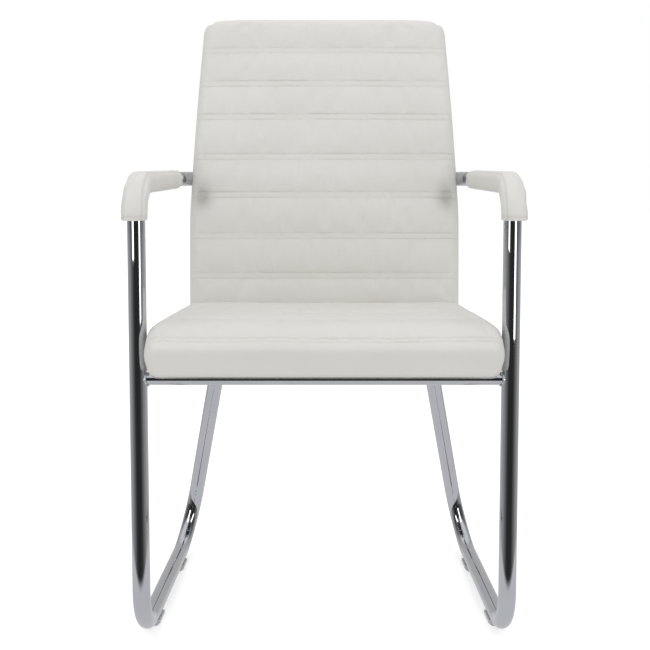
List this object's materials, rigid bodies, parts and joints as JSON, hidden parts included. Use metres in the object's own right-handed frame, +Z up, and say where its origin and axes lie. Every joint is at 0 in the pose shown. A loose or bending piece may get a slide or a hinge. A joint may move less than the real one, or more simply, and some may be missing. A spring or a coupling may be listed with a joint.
{
  "type": "sled base visitor chair",
  "caption": "Visitor chair with a chrome tube sled base, padded arm sleeves, and a sloping seat and tall curved back in white leather with stitched cross channels.",
  "frame": {"origin": "floor point under the middle of the chair's bounding box", "axes": "+Z up, -Y towards the front of the chair, +X to the right as seen from the front; the chair is alike left and right of X = 0"},
  "size_m": [0.552, 0.6342, 0.9432],
  "materials": {
    "chrome_tube": "bright chrome plate on bent steel tube and flat bar",
    "white_leather": "warm white leather, fine pebbled grain, soft semi-matt sheen, tonal stitching",
    "plywood": "bare moulded plywood, hidden under the upholstery",
    "black_steel": "black powder coat on bent flat bar",
    "dust_cloth": "black spunbond dust cloth",
    "glide_plastic": "pale translucent nylon",
    "bolt_steel": "zinc plated socket head bolts"
  },
  "bodies": {
    "root": {"side_frame_left": "chrome_tube", "side_frame_right": "chrome_tube", "front_cross_tube": "chrome_tube", "rear_cross_tube": "chrome_tube", "front_seat_plate_left": "chrome_tube", "front_seat_plate_right": "chrome_tube", "rear_seat_plate_left": "chrome_tube", "rear_seat_plate_right": "chrome_tube", "seat_cushion": "white_leather", "back_cushion": "white_leather", "back_rear_panel": "white_leather", "arm_sleeve_left": "white_leather", "arm_sleeve_right": "white_leather", "seat_board": "plywood", "back_board": "plywood", "back_bracket_left": "black_steel", "back_bracket_right": "black_steel", "seat_dust_cover": "dust_cloth", "glide_front_left": "glide_plastic", "glide_front_right": "glide_plastic", "glide_rear_left": "glide_plastic", "glide_rear_right": "glide_plastic", "front_plate_left_bolt_1": "bolt_steel", "front_plate_left_bolt_2": "bolt_steel", "front_plate_right_bolt_1": "bolt_steel", "front_plate_right_bolt_2": "bolt_steel", "rear_plate_left_bolt_1": "bolt_steel", "rear_plate_left_bolt_2": "bolt_steel", "rear_plate_right_bolt_1": "bolt_steel", "rear_plate_right_bolt_2": "bolt_steel", "seat_bracket_left_bolt_1": "bolt_steel", "seat_bracket_left_bolt_2": "bolt_steel", "seat_bracket_right_bolt_1": "bolt_steel", "seat_bracket_right_bolt_2": "bolt_steel", "arm_left_bolt_1": "bolt_steel", "arm_left_bolt_2": "bolt_steel", "arm_right_bolt_1": "bolt_steel", "arm_right_bolt_2": "bolt_steel", "back_bracket_left_bolt_1": "bolt_steel", "back_bracket_left_bolt_2": "bolt_steel", "back_bracket_right_bolt_1": "bolt_steel", "back_bracket_right_bolt_2": "bolt_steel"}
  },
  "joints": []
}
